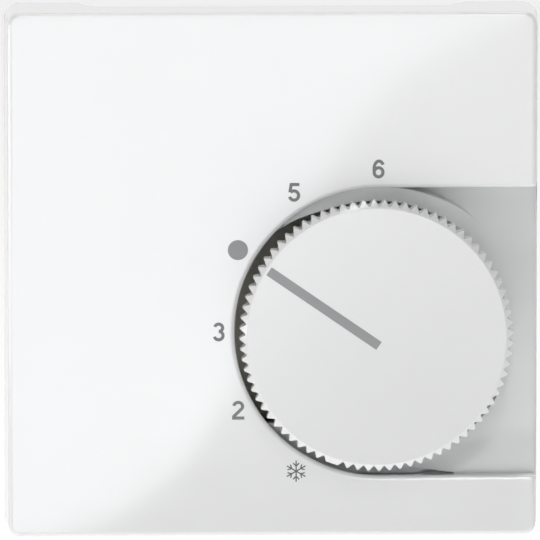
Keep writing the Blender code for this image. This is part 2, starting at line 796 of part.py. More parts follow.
def make_claw():
    """A toothed blade with a forked tongue round the claw screw, about its pivot."""
    half = CLAW_THICKNESS / 2
    side = CLAW_HALF
    blade = box((-side, side), (-2 * GAP, CLAW_LENGTH), (-half, half))
    tongue = box((-side, side), (CLAW_LENGTH - 1.4, CLAW_LENGTH - TUCK), (-CLAW_TONGUE, 0))
    pivot = turn(cylinder(CLAW_PIN, -side - 1.5, side + 1.5, 0, 0, 12), 90, "Z")
    ridges = []
    for i in range(CLAW_RIDGES):
        y = CLAW_LENGTH - 1.5 - CLAW_RIDGE_PITCH * i
        ridge = prism([(-CLAW_RIDGE, 0), (CLAW_RIDGE, 0), (0, CLAW_RIDGE)], -side + TUCK, side - TUCK)
        ridges.append(shift(turn(ridge, -90, "Z"), 0, y, half - TOUCH))
    claw = join(blade, tongue, pivot, *ridges)
    fork = box((-CLAW_FORK_HALF, CLAW_FORK_HALF), (CLAW_LENGTH - 3, CLAW_LENGTH + OVERLONG), (-5, -0.65))
    return cut(claw, fork)


def make_claw_nut():
    width = (-CLAW_NUT_HALF, CLAW_NUT_HALF)
    nut = box(width, (CLAW_NUT_Y, CLAW_NUT_Y + 2), width)
    return cut(nut, cylinder(CLAW_SCREW_RADIUS + GAP, CLAW_NUT_Y - 1, CLAW_NUT_Y + 3, 0, 0, 16))


def make_terminal_block():
    low, high = BLOCK_Z
    a, c = BLOCK_HALF, BLOCK_CHAMFER
    outline = [(a, low + c), (a, high), (-a, high), (-a, low + c), (-a + c, low), (a - c, low)]
    block = prism(outline, *BLOCK_Y)
    pocket = CAGE_HALF + GAP
    slot = BUSBAR_HALF + GAP
    cage_front = CAGE_Y[0] - GAP
    cage_z = (CAGE_Z[0] - GAP, CAGE_Z[1] + GAP)
    bar_z = (BUSBAR_Z[0] - GAP, BUSBAR_Z[1] + GAP)
    holes = []
    for x in TERMINALS:
        holes.append(box((x - pocket, x + pocket), (cage_front, BLOCK_Y[1] + OVERLONG), cage_z))
        holes.append(box((x - slot, x + slot), (BLOCK_Y[0] - OVERLONG, CAGE_Y[0] + OVERLONG), bar_z))
        driver = cylinder(WIRE_HALF, low - OVERLONG, CAGE_Z[0] + OVERLONG, x, -TERMINAL_SCREW_Y, 16)
        holes.append(upright(driver))
    return cut(block, *holes)


def make_cage():
    cage = box((-CAGE_HALF, CAGE_HALF), CAGE_Y, CAGE_Z)
    wire = box((-WIRE_HALF, WIRE_HALF), (CAGE_Y[0] - OVERLONG, CAGE_Y[1] + OVERLONG), WIRE_Z)
    thread = upright(cylinder(1.55, CAGE_Z[0] - OVERLONG, CAGE_Z[0] + 2.2, 0, -TERMINAL_SCREW_Y, 16))
    return cut(cage, wire, thread)


def make_terminal_screw():
    return shift(upright(screw(1.6, -16.8, 1.25, -14.7, BUSBAR_Z[0] - GAP)), 0, TERMINAL_SCREW_Y, 0)


def make_busbar(tab_top, hole_z=None):
    """A strip from the cage to behind the deck, bent up into a tab."""
    strip = box((-BUSBAR_HALF, BUSBAR_HALF), (BUSBAR_TAB_Y[0], 15.0), BUSBAR_Z)
    tab = box((-BUSBAR_HALF, BUSBAR_HALF), BUSBAR_TAB_Y, (BUSBAR_Z[0] + TOUCH, tab_top))
    bar = join(strip, tab)
    if hole_z is not None:
        bar = cut(bar, cylinder(SMALL_HOLE, BUSBAR_TAB_Y[0] - 1, BUSBAR_TAB_Y[1] + 1, 0, hole_z, 12))
    return bar


# Assembly


def build_front(finish):
    place(make_cover(), "cover_plate", finish["white_gloss_plastic"])
    dial = datum("dial_axis", DIAL_X, 0, DIAL_Z)
    knob = datum("knob_slide")
    knob.parent = dial
    place(make_knob(), "setting_knob", finish["white_knob_plastic"], knob)
    min_ring = make_limit_ring(MIN_RING_RADII, STOP_ANGLE - DIAL_MAX - TAB_LEAD)
    place(min_ring, "min_limit_ring", finish["blue_plastic"], knob)
    max_ring = make_limit_ring(MAX_RING_RADII, STOP_ANGLE - DIAL_MIN + TAB_LEAD)
    place(max_ring, "max_limit_ring", finish["red_plastic"], knob)
    place(make_spindle(), "knob_spindle", finish["natural_plastic"], dial)
    place(make_clip(), "spindle_clip", finish["zinc_steel"], dial)
    place(make_cam(), "setting_cam", finish["natural_plastic"], dial)
    head = RECESS_FLOOR_Y - GAP
    cover_screw = screw(2.2, head - 1, COVER_SCREW_RADIUS, head, DECK_FRONT_Y - 0.4, *COVER_SCREW)
    place(cover_screw, "cover_screw", finish["zinc_steel"])


def build_mechanism(finish):
    slide = datum("follower_slide", DIAL_X, 0, DIAL_Z)
    place(make_follower(), "cam_follower", finish["natural_plastic"], slide)
    place(make_spring(), "follower_spring", finish["zinc_steel"], slide)
    place(make_deck(), "mechanism_deck", finish["natural_plastic"])
    for number, (x, z) in enumerate(DECK_SCREWS, 1):
        deck_screw = screw(1.9, 4.5, 1.0, DECK_FRONT_Y - GAP, POST_REAR_Y - 0.4, x, z)
        place(deck_screw, f"deck_screw_{number}", finish["zinc_steel"])
    flex = datum("bimetal_root", 0, sum(STRIP_Y) / 2, STRIP_CLAMP_Z)
    moving = cylinder(CONTACT_RADIUS, STRIP_Y[1] + TOUCH, 4.5, STRIP_X, CONTACT_Z, 16)
    flexing = ((make_strip(), "bimetal_strip", "bimetal"), (moving, "moving_contact", "silver"))
    for piece, name, slot in flexing:
        shift(piece, 0, -sum(STRIP_Y) / 2, -STRIP_CLAMP_Z)
        place(piece, name, finish[slot], flex)
    place(make_strip_clamp(), "bimetal_clamp", finish["zinc_steel"])
    for number, (x, z) in enumerate(STRIP_RIVETS, 1):
        place(make_strip_rivet(x, z), f"bimetal_rivet_{number}", finish["brass"])
    place(make_contact_arm(), "contact_arm", finish["brass"])
    fixed = cylinder(CONTACT_RADIUS, 4.9, ARM_Y[0] - TOUCH, STRIP_X, CONTACT_Z, 16)
    place(fixed, "fixed_contact", finish["silver"])
    arm_rivet = rivet(ARM_RIVET_X, CONTACT_Z, 1.4, 4.5, 0.7, ARM_Y[0] - TOUCH, BUSBAR_TAB_Y[1] + 0.4)
    place(arm_rivet, "contact_rivet", finish["brass"])
    magnet = box((STRIP_X - 2, STRIP_X + 2), (4.4, DECK_FRONT_Y - GAP), (12.2, 15.6))
    place(magnet, "snap_magnet", finish["ferrite"])
    place(screw(1.6, 4.2, 0.9, 5.7, 9.5, *CALIBRATION_SCREW), "calibration_screw", finish["brass"])
    place(make_resistor(), "feedback_resistor", finish["resistor_enamel"])


def build_insert(finish):
    place(make_housing(), "insert_housing", finish["grey_plastic"])
    place(make_support_ring(), "support_ring", finish["zinc_steel"])
    for number, (x, z) in enumerate(RIVETS, 1):
        ring_rivet = turned([(-0.9, 1.0), (2.8, 1.0), (2.8, 1.3), (3.5, 1.1)], x, z, 12)
        place(ring_rivet, f"ring_rivet_{number}", finish["zinc_steel"])
    for name, side in (("top", 1), ("bottom", -1)):
        pivot = datum("claw_pivot_" + name, 0, CLAW_PIVOT_Y, side * CLAW_PIVOT_Z)
        fixing = datum("claw_fixing_" + name, 0, 0, side * CLAW_SCREW_Z)
        if side < 0:
            pivot.rotation_euler = (0, math.pi, 0)
        place(make_claw(), "claw_" + name, finish["zinc_steel"], pivot)
        claw_screw = screw(2.2, -2.3, CLAW_SCREW_RADIUS, -1.3, CLAW_SCREW_REAR_Y)
        place(claw_screw, "claw_screw_" + name, finish["zinc_steel"], fixing)
        place(make_claw_nut(), "claw_nut_" + name, finish["zinc_steel"], fixing)


def build_terminals(finish):
    place(make_terminal_block(), "terminal_block", finish["grey_plastic"])
    busbars = ((-10.0, None), (11.5, CONTACT_Z), (-10.6, None), (-10.6, None))
    names = ("live_busbar", "load_busbar", "neutral_busbar", "setback_busbar")
    for number, x in enumerate(TERMINALS):
        seat = datum(f"terminal_{number + 1}", x)
        place(make_cage(), f"terminal_cage_{number + 1}", finish["brass"], seat)
        place(make_terminal_screw(), f"terminal_screw_{number + 1}", finish["zinc_steel"], seat)
        place(make_busbar(*busbars[number]), names[number], finish["copper"], seat)


def main():
    clear_scene()
    finish = {name: make_material(name) for name in MATERIALS}
    build_front(finish)
    build_mechanism(finish)
    build_insert(finish)
    build_terminals(finish)


main()
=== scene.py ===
"""The looks of a flush-mounted room thermostat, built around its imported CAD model.

Frame: +X is right and +Z is up as the user sees the thermostat, and the front faces -Y.
Shapes are described in millimetres and scaled by MM into Blender's metres.
"""

import json
import math

import bmesh
import bpy
from mathutils import Matrix, Vector


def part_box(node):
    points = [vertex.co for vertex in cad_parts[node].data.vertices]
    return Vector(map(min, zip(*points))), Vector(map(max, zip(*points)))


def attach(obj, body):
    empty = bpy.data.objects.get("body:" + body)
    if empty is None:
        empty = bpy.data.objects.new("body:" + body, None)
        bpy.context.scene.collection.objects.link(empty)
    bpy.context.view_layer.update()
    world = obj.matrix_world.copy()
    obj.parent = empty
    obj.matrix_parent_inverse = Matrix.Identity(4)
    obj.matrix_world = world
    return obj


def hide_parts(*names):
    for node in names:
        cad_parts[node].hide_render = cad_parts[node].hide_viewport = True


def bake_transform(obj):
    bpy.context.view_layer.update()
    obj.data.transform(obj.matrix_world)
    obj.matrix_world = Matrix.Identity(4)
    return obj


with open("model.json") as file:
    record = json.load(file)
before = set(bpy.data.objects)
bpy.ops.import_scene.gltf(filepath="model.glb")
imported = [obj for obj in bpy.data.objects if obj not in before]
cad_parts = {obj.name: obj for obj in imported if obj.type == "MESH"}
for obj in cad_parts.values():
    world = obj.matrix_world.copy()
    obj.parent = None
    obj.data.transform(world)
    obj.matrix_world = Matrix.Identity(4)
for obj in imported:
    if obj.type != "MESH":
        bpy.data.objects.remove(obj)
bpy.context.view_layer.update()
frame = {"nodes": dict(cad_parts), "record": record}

MM = 0.001

# The cover
COVER_HALF = 27.5
COVER_FRONT_Y = -6.4
COVER_REAR_Y = -0.3
COVER_CORNER = 1.25
COVER_EDGE = 0.5
COVER_WALL = 1.6
CAVITY_CORNER = 0.75
SKIRT_WALL = 1.4
SKIRT_DRAFT = 0.33
AIR_SLOT_Y = -2.45
AIR_SLOT_HALF = 18.0
AIR_SLOT_EASE = 2.6
ROUND_STEPS = 8

# The recess that is open to the right
RECESS_X = 11.25
RECESS_Z = -6.05
RECESS_RADIUS = 15.15
RECESS_EDGE = 0.48
RECESS_CORNER = 0.9
FLOOR_Y = -3.1
FLOOR_REAR_Y = -1.7
FLOOR_END_X = 27.66
FLOOR_END_ROUND = 0.35
PAD_RADIUS = 14.65
PAD_SLOPE = 0.95
PAD_SHOULDER = 1.5
TOP_HOLLOW = 0.42
TOP_HOLLOW_Z = (4.0, 8.2)
BOTTOM_COVE = 1.5
BOTTOM_COVE_RISE = 4.6
BOTTOM_COVE_AWAY = (0.3, 2.8)
FLOOR_GRID = (0.4, 0.35)
FLOOR_MARGIN = 1.5
AIR_GAP_RADII = (12.75, 14.8)
AIR_GAP_ANGLES = (106.0, 332.0)
UNDERCUT_RADII = (13.6, 15.9)
UNDERCUT_START = 137.0
UNDERCUT_TAPER = (15.0, 19.0)
LIP = 0.52
LEDGE_RADII = (13.6, 15.16)
LEDGE_ANGLES = (46.0, 139.0)
LEDGE_RISE = 2.1
LEDGE_FADES = (26.0, 8.0)
LEDGE_TAPER = (106.0, 141.0)
LEDGE_EDGE = 0.1
LEDGE_STEPS = 60
SPINDLE_HOLE = 3.1
SCREW_HOLE = 1.5
SCREW_HOLE_PLACE = (4.95, -11.75)
STOP_REACH = (8.7, 11.7)
STOP_FRONT_Y = -6.2
STOP_HALF = 0.8
STOP_ANGLE = 315.0

# The knob
KNOB_X = 10.75
KNOB_Z = -5.95
KNOB_FRONT_Y = -10.19
KNOB_REAR_Y = -3.5
KNOB_FACE_RADIUS = 13.42
KNOB_VALLEY_RADIUS = 13.62
KNOB_TIP_RADIUS = 14.2
KNURL_REAR_Y = -8.2
DRUM_FRONT_Y = -7.4
DRUM_RADIUS = 13.2
KNOB_TEETH = 80
KNOB_TOOTH_OFFSET = 1.1
KNOB_BLANK_TOOTH = 251.0
TOOTH_SHAPE = ((-0.5, 0.0), (-0.42, 0.06), (-0.07, 1.0), (0.07, 1.0), (0.42, 0.06))
BLANK_HEIGHT = 0.95
KNOB_TOP = 1.5
KNOB_INNER_RADIUS = 12.4
HUB_RADIUS = 4.0
HUB_REAR_Y = -3.7
SPINDLE_BORE = 2.8
SPINDLE_BORE_FLAT = 2.1
OPEN_Y = 1.0

# The follower's spring
SPRING_BOTTOM = 8.35
SPRING_TOP = 14.65
SPRING_Y = 2.2
SPRING_RADIUS = 1.9
SPRING_WIRE = 0.38
SPRING_TURNS = 6
SPRING_STEPS = 24

# The studio
CAMERA_AZIMUTH = -1.6
CAMERA_ELEVATION = 8.6
CAMERA_DISTANCE = 1300.0
CAMERA_TARGET = (-0.2285, COVER_FRONT_Y, 0.546)
CAMERA_LENS = 834.0
PANEL_DISTANCE = 300.0
PANEL_REACH = 34.0
SHADE_FADE = (-20.0, 14.0)
SOFTBOX_GLOW = 5.3
SHADE_GLOW = 2.6
ROOM_LIGHT = 0.03
BACKDROP_LIGHT = 0.95
GROUND_Z = -120.0
GROUND_GLOW = 0.3

# Each light's place, size and power, in metres and watts
LIGHTS = {
    "front_strip": ((0.035, -1.0, 0.62), (0.17, 1.0), 4.0),
    "overhead_strip": ((0.035, 0.05, 1.0), (0.17, 1.15), 4.5),
    "left_strip": ((-0.6, -0.35, -0.07), (0.8, 0.1), 1.15),
}

# Printed marks
PRINT_DEPTH = 0.03
PRINT_PROUD = 0.01
DIGIT_SCALE = 1.06
DIGIT_STROKE = 0.33
DOT_RADIUS = 1.05
FLAKE_REACH = 1.12
FLAKE_TWIG = 0.45
FLAKE_TWIG_PLACE = 0.54
FLAKE_STROKE = 0.132
POINTER_START = (0.23, -0.95)
POINTER_END = (-11.19, 6.94)
POINTER_WIDTH = 1.0

# Each mark's angle and distance from the knob's axis
SCALE = {
    "6": (89, 17.05),
    "5": (120, 16.9),
    "dot": (149, 16.7),
    "3": (180, 16.3),
    "2": (210, 16.5),
    "frost": (240.7, 16.87),
}

# Softened edges of the CAD nodes
EDGE_WIDTH = 0.12
EDGE_SHARE = 0.1
EDGE_ANGLE = 35.0
WELD_DISTANCE = 0.002


# Meshes


def polar(radius, degrees, x=0.0, z=0.0):
    angle = math.radians(degrees)
    return (x + radius * math.cos(angle), z + radius * math.sin(angle))


def arc(radius, start, end, steps, x=0.0, z=0.0):
    return [polar(radius, start + (end - start) * i / steps, x, z) for i in range(steps + 1)]


def circle(radius, steps, x=0.0, z=0.0):
    return [polar(radius, 360.0 * i / steps, x, z) for i in range(steps)]


def smoothstep(value):
    t = min(1.0, max(0.0, value))
    return t * t * (3.0 - 2.0 * t)


def link(name, bm):
    mesh = bpy.data.meshes.new(name)
    bm.normal_update()
    bm.to_mesh(mesh)
    bm.free()
    piece = bpy.data.objects.new(name, mesh)
    bpy.context.collection.objects.link(piece)
    return piece


def loft(levels, closed=False):
    """A solid through (y, outline) levels from front to rear, back through its bore if closed."""
    bm = bmesh.new()
    rings = []
    for y, outline in levels:
        rings.append([bm.verts.new(Vector((x, y, z)) * MM) for x, z in outline])
    count = len(rings[0])
    pairs = list(zip(rings, rings[1:]))
    if closed:
        pairs.append((rings[-1], rings[0]))
    for front, rear in pairs:
        for i in range(count):
            j = (i + 1) % count
            bm.faces.new((front[i], rear[i], rear[j], front[j]))
    if not closed:
        bm.faces.new(rings[0])
        bm.faces.new(rings[-1][::-1])
    bmesh.ops.recalc_face_normals(bm, faces=bm.faces)
    return link("part", bm)


def prism(outline, y0, y1):
    return loft([(y0, outline), (y1, outline)])


def box(x, y, z):
    return prism([(x[0], z[0]), (x[1], z[0]), (x[1], z[1]), (x[0], z[1])], *y)


def cylinder(radius, y0, y1, x=0.0, z=0.0):
    return prism(circle(radius, 48, x, z), y0, y1)


def turned(profile, steps):
    return loft([(y, circle(radius, steps)) for y, radius in profile])


def turn(piece, degrees, axis):
    piece.data.transform(Matrix.Rotation(math.radians(degrees), 4, axis))
    return piece


def shift(piece, x=0.0, y=0.0, z=0.0):
    piece.data.transform(Matrix.Translation(Vector((x, y, z)) * MM))
    return piece


def bake(piece):
    """Replaces the piece's mesh by the result of its modifiers."""
    bpy.context.view_layer.update()
    mesh = bpy.data.meshes.new_from_object(piece.evaluated_get(bpy.context.evaluated_depsgraph_get()))
    piece.modifiers.clear()
    piece.data = mesh
    return piece


def combine(piece, tools, operation):
    for tool in tools:
        modifier = piece.modifiers.new("combine", "BOOLEAN")
        modifier.operation = operation
        modifier.solver = "EXACT"
        modifier.object = tool
    bake(piece)
    for tool in tools:
        bpy.data.objects.remove(tool)
    return piece


def cut(piece, *tools):
    return combine(piece, tools, "DIFFERENCE")


def join(piece, *tools):
    return combine(piece, tools, "UNION")


def common(piece, tool):
    return combine(piece, [tool], "INTERSECT")


def finish_piece(piece, name, material, angle=32.0):
    """Names a finished mesh, gives it its material and shades its flats flat and its rounds smooth."""
    piece.name = name
    piece.data.name = name
    piece.data.materials.clear()
    piece.data.materials.append(material)
    piece.data.shade_smooth()
    piece.data.set_sharp_from_angle(angle=math.radians(angle))
    modifier = piece.modifiers.new("even_normals", "WEIGHTED_NORMAL")
    modifier.keep_sharp = True
    modifier.weight = 80
    return piece


# Materials


class Nodes:
    """A material's node tree with the few links that the finishes here need."""

    def __init__(self, name, colour, roughness, metallic=0.0):
        self.material = bpy.data.materials.new(name)
        self.material.use_nodes = True
        self.tree = self.material.node_tree
        self.shader = self.tree.nodes["Principled BSDF"]
        self.shader.inputs["Base Color"].default_value = (*colour, 1.0)
        self.shader.inputs["Roughness"].default_value = roughness
        self.shader.inputs["Metallic"].default_value = metallic
        self.place = self.tree.nodes.new("ShaderNodeTexCoord")

    def noise(self, scale, stretch=(1.0, 1.0, 1.0), detail=3.0):
        mapping = self.tree.nodes.new("ShaderNodeMapping")
        mapping.inputs["Scale"].default_value = stretch
        self.tree.links.new(self.place.outputs["Object"], mapping.inputs["Vector"])
        noise = self.tree.nodes.new("ShaderNodeTexNoise")
        noise.inputs["Scale"].default_value = scale
        noise.inputs["Detail"].default_value = detail
        self.tree.links.new(mapping.outputs["Vector"], noise.inputs["Vector"])
        return noise.outputs["Fac"]

    def vary_roughness(self, source, low, high):
        spread = self.tree.nodes.new("ShaderNodeMapRange")
        spread.inputs["From Min"].default_value = 0.3
        spread.inputs["From Max"].default_value = 0.7
        spread.inputs["To Min"].default_value = low
        spread.inputs["To Max"].default_value = high
        self.tree.links.new(source, spread.inputs["Value"])
        self.tree.links.new(spread.outputs["Result"], self.shader.inputs["Roughness"])

    def vary_colour(self, source, low, high):
        ramp = self.tree.nodes.new("ShaderNodeValToRGB")
        ramp.color_ramp.elements[0].position = 0.35
        ramp.color_ramp.elements[0].color = (*low, 1.0)
        ramp.color_ramp.elements[1].position = 0.65
        ramp.color_ramp.elements[1].color = (*high, 1.0)
        self.tree.links.new(source, ramp.inputs["Fac"])
        self.tree.links.new(ramp.outputs["Color"], self.shader.inputs["Base Color"])

    def bump(self, source, depth, strength=1.0):
        bump = self.tree.nodes.new("ShaderNodeBump")
        bump.inputs["Distance"].default_value = depth * MM
        bump.inputs["Strength"].default_value = strength
        self.tree.links.new(source, bump.inputs["Height"])
        self.tree.links.new(bump.outputs["Normal"], self.shader.inputs["Normal"])


def scaled(colour, factor):
    return tuple(min(1.0, channel * factor) for channel in colour)


def moulded(name, colour, roughness, grain, depth, spread=0.03, shade=0.02):
    """A moulded plastic: faint clouding, an uneven gloss and the texture of its mould."""
    nodes = Nodes(name, colour, roughness)
    cloud = nodes.noise(90.0)
    nodes.vary_colour(cloud, scaled(colour, 1.0 - shade), scaled(colour, 1.0 + shade))
    nodes.vary_roughness(nodes.noise(260.0), roughness - spread, roughness + spread)
    nodes.bump(nodes.noise(grain, detail=2.0), depth, 0.6)
    return nodes.material


def rolled_metal(name, colour, roughness, stretch, shade=0.12):
    """A plated or rolled metal with fine scratches along one direction."""
    nodes = Nodes(name, colour, roughness, 1.0)
    cloud = nodes.noise(220.0, detail=6.0)
    nodes.vary_colour(cloud, scaled(colour, 1.0 - shade), scaled(colour, 1.0 + shade))
    scratches = nodes.noise(900.0, stretch, 4.0)
    nodes.vary_roughness(scratches, roughness * 0.75, roughness * 1.3)
    nodes.bump(scratches, 0.01, 0.35)
    return nodes.material


def make_materials():
    across = (0.08, 1.0, 1.0)
    along = (1.0, 1.0, 0.08)
    return {
        "white_gloss_plastic": moulded(
            "white_gloss_plastic", (0.757, 0.757, 0.757), 0.06, 700.0, 0.0004, 0.01, 0.004
        ),
        # The recess's colour is greyer than the cover's to paint the recess's shade; its higher roughness is
        # its satin finish.
        "recess": moulded("white_satin_plastic_painted_shade", (0.67, 0.68, 0.68), 0.42, 1800.0, 0.004, 0.06),
        "white_knob_plastic": moulded(
            "white_knob_plastic", (0.725, 0.725, 0.725), 0.16, 1500.0, 0.002, 0.02, 0.004
        ),
        "natural_plastic": moulded("natural_plastic", (0.7, 0.68, 0.6), 0.42, 2500.0, 0.01),
        "grey_plastic": moulded("grey_plastic", (0.26, 0.265, 0.27), 0.48, 3000.0, 0.012),
        "blue_plastic": moulded("blue_plastic", (0.05, 0.18, 0.55), 0.38, 2500.0, 0.008),
        "red_plastic": moulded("red_plastic", (0.6, 0.05, 0.04), 0.38, 2500.0, 0.008),
        "zinc_steel": rolled_metal("zinc_steel", (0.62, 0.63, 0.65), 0.3, across),
        "brass": rolled_metal("brass", (0.72, 0.55, 0.25), 0.28, along),
        "copper": rolled_metal("copper", (0.75, 0.4, 0.28), 0.3, along),
        "bimetal": rolled_metal("bimetal", (0.55, 0.52, 0.47), 0.28, along),
        "silver": rolled_metal("silver", (0.85, 0.85, 0.86), 0.2, across, 0.05),
        "ferrite": moulded("ferrite", (0.06, 0.06, 0.065), 0.55, 4000.0, 0.02),
        "resistor_enamel": moulded("resistor_enamel", (0.62, 0.5, 0.33), 0.35, 1500.0, 0.01),
        "print": moulded("scale_print", (0.28, 0.287, 0.29), 0.4, 2500.0, 0.002),
        "digit_print": moulded("digit_print", (0.16, 0.165, 0.17), 0.4, 2500.0, 0.002),
        "dark_print": moulded("frost_print", (0.1, 0.1, 0.1), 0.4, 2500.0, 0.002),
    }


# The cover


def rounded(half, radius, steps=10):
    inner = half - radius
    outline = []
    for start, x, z in ((0, inner, inner), (90, -inner, inner), (180, -inner, -inner), (270, inner, -inner)):
        outline += arc(radius, start, start + 90, steps, x, z)
    return outline


def cover_shell():
    levels = []
    for i in range(ROUND_STEPS + 1):
        angle = math.radians(90.0 * i / ROUND_STEPS)
        inset = COVER_EDGE * (1 - math.sin(angle))
        y = COVER_FRONT_Y + COVER_EDGE * (1 - math.cos(angle))
        levels.append((y, rounded(COVER_HALF - inset, COVER_CORNER - inset)))
    levels.append((COVER_REAR_Y, rounded(COVER_HALF + SKIRT_DRAFT, COVER_CORNER + SKIRT_DRAFT)))
    inside = COVER_HALF - SKIRT_WALL
    cavity = loft(
        [
            (COVER_FRONT_Y + COVER_WALL, rounded(inside, CAVITY_CORNER)),
            (OPEN_Y, rounded(inside + SKIRT_DRAFT, CAVITY_CORNER)),
        ]
    )
    return cut(loft(levels), cavity)


def air_slot(side):
    """The cutter for the air gap in the top (side 1) or bottom (side -1) edge, with eased ends."""
    steps = 10
    ramp = []
    for i in range(steps + 1):
        part = i / steps
        depth = AIR_SLOT_Y + (COVER_REAR_Y - AIR_SLOT_Y) * smoothstep(part)
        ramp.append((AIR_SLOT_HALF + AIR_SLOT_EASE * part, depth))
    right = [(x, -y) for x, y in ramp]
    left = [(-x, y) for x, y in reversed(right)]
    end = AIR_SLOT_HALF + AIR_SLOT_EASE
    outline = left + right + [(end, -OPEN_Y), (-end, -OPEN_Y)]
    cutter = prism(outline, COVER_HALF - 2 * SKIRT_WALL, COVER_HALF + SKIRT_WALL)
    turn(cutter, 90, "X")
    if side < 0:
        turn(cutter, 180, "Y")
    return cutter


def u_outline(offset):
    """The recess seen from the front, with rounded corners where it leaves the cover on the right."""
    radius = RECESS_RADIUS + offset
    corner = RECESS_CORNER - offset
    outline = arc(radius, 90, 270, 90, RECESS_X, RECESS_Z)
    low = RECESS_Z - radius
    high = RECESS_Z + radius
    end = COVER_HALF + SKIRT_DRAFT - RECESS_CORNER
    outline += arc(corner, 90, 0, 8, end, low - corner)
    outside = end + corner + 1.0
    outline += [(outside, low - corner - 1.0), (outside, high + corner + 1.0)]
    outline += arc(corner, 0, -90, 8, end, high + corner)
    return outline


def recess_levels():
    """The recess's cutter, whose rounded rim runs into its straight wall."""
    levels = [(COVER_FRONT_Y - 1.0, u_outline(RECESS_EDGE))]
    for i in range(ROUND_STEPS + 1):
        angle = math.radians(90.0 * i / ROUND_STEPS)
        y = COVER_FRONT_Y + RECESS_EDGE * (1 - math.cos(angle))
        levels.append((y, u_outline(RECESS_EDGE * (1 - math.sin(angle)))))
    levels.append((0.0, u_outline(0.0)))
    return levels


def floor_height(x, z):
    """The recess floor's y: a round pad under the knob, hollowed above it and coved at the bottom."""
    away = math.hypot(x - KNOB_X, z - KNOB_Z) - PAD_RADIUS
    slope = min(1.0, max(0.0, away / PAD_SLOPE))
    slope = math.sin(slope * math.pi / 2) ** PAD_SHOULDER
    start, end = TOP_HOLLOW_Z
    hollow = TOP_HOLLOW * smoothstep((z - start) / (end - start)) * slope
    near_bottom = smoothstep(1 - (z - RECESS_Z + RECESS_RADIUS) / BOTTOM_COVE_RISE)
    start, end = BOTTOM_COVE_AWAY
    cove = BOTTOM_COVE * near_bottom * smoothstep((away - start) / (end - start))
    y = FLOOR_Y + hollow - cove
    start = FLOOR_END_X - FLOOR_END_ROUND
    if x > start:
        along = min(FLOOR_END_ROUND, x - start)
        y += FLOOR_END_ROUND - math.sqrt(max(0.0, FLOOR_END_ROUND**2 - along**2))
    return y


def grid_lines(low, high, step):
    count = max(1, round((high - low) / step))
    return [low + (high - low) * i / count for i in range(count + 1)]


def floor_space():
    """Everything in front of the recess floor, as a solid with the floor as its rear face."""
    start = FLOOR_END_X - FLOOR_END_ROUND
    reach = RECESS_RADIUS + FLOOR_MARGIN
    columns = grid_lines(RECESS_X - reach, start, FLOOR_GRID[0])
    columns += [start + FLOOR_END_ROUND * math.sin(math.radians(a)) for a in (15, 30, 45, 60, 75, 90)]
    columns += [FLOOR_END_X + 0.06, COVER_HALF + SKIRT_DRAFT + 0.5]
    rows = grid_lines(RECESS_Z - reach, RECESS_Z + reach, FLOOR_GRID[1])
    bm = bmesh.new()
    rear = []
    front = []
    for x in columns:
        if x > COVER_HALF + SKIRT_DRAFT:
            depths = [0.5] * len(rows)
        elif x > FLOOR_END_X:
            depths = [FLOOR_Y + 0.62] * len(rows)
        else:
            depths = [floor_height(x, z) for z in rows]
        rear.append([bm.verts.new(Vector((x, y, z)) * MM) for y, z in zip(depths, rows)])
        front.append([bm.verts.new(Vector((x, COVER_FRONT_Y - 0.6, z)) * MM) for z in rows])
    last_column = len(columns) - 1
    last_row = len(rows) - 1
    for i in range(last_column):
        for j in range(last_row):
            a, b, c, d = rear[i][j], rear[i + 1][j], rear[i + 1][j + 1], rear[i][j + 1]
            bm.faces.new((a, b, c))
            bm.faces.new((a, c, d))
            bm.faces.new((front[i][j], front[i][j + 1], front[i + 1][j + 1], front[i + 1][j]))
    for i in range(last_column):
        for j, flip in ((0, False), (last_row, True)):
            side = (rear[i][j], front[i][j], front[i + 1][j], rear[i + 1][j])
            bm.faces.new(side[::-1] if flip else side)
    for j in range(last_row):
        for i, flip in ((0, True), (last_column, False)):
            side = (rear[i][j], front[i][j], front[i][j + 1], rear[i][j + 1])
            bm.faces.new(side[::-1] if flip else side)
    bmesh.ops.recalc_face_normals(bm, faces=bm.faces)
    return link("space", bm)


def tub_outline():
    radius = RECESS_RADIUS + SKIRT_WALL
    right = COVER_HALF - COVER_EDGE
    outline = arc(radius, 90, 270, 60, RECESS_X, RECESS_Z)
    return outline + [(right, RECESS_Z - radius), (right, RECESS_Z + radius)]


def sector(radii, angles, y0, y1):
    inner, outer = radii
    start, end = angles
    outline = arc(outer, start, end, 96, KNOB_X, KNOB_Z) + arc(inner, end, start, 96, KNOB_X, KNOB_Z)
    return prism(outline, y0, y1)


def undercut():
    """The cutter behind the recess's thin lip on the left, which tapers out along the straight bottom."""
    inner, outer = UNDERCUT_RADII
    full, end = UNDERCUT_TAPER
    low = KNOB_Z - outer
    wall = RECESS_Z - RECESS_RADIUS
    outline = arc(outer, UNDERCUT_START, 270, 96, KNOB_X, KNOB_Z)
    outline += [(full, low), (end, wall - 0.05), (end, wall + 0.05), (KNOB_X + 1.5, wall + 0.6)]
    outline += arc(inner, 276, UNDERCUT_START, 96, KNOB_X, KNOB_Z)
    return prism(outline, COVER_FRONT_Y + LIP, FLOOR_REAR_Y + 1.0)


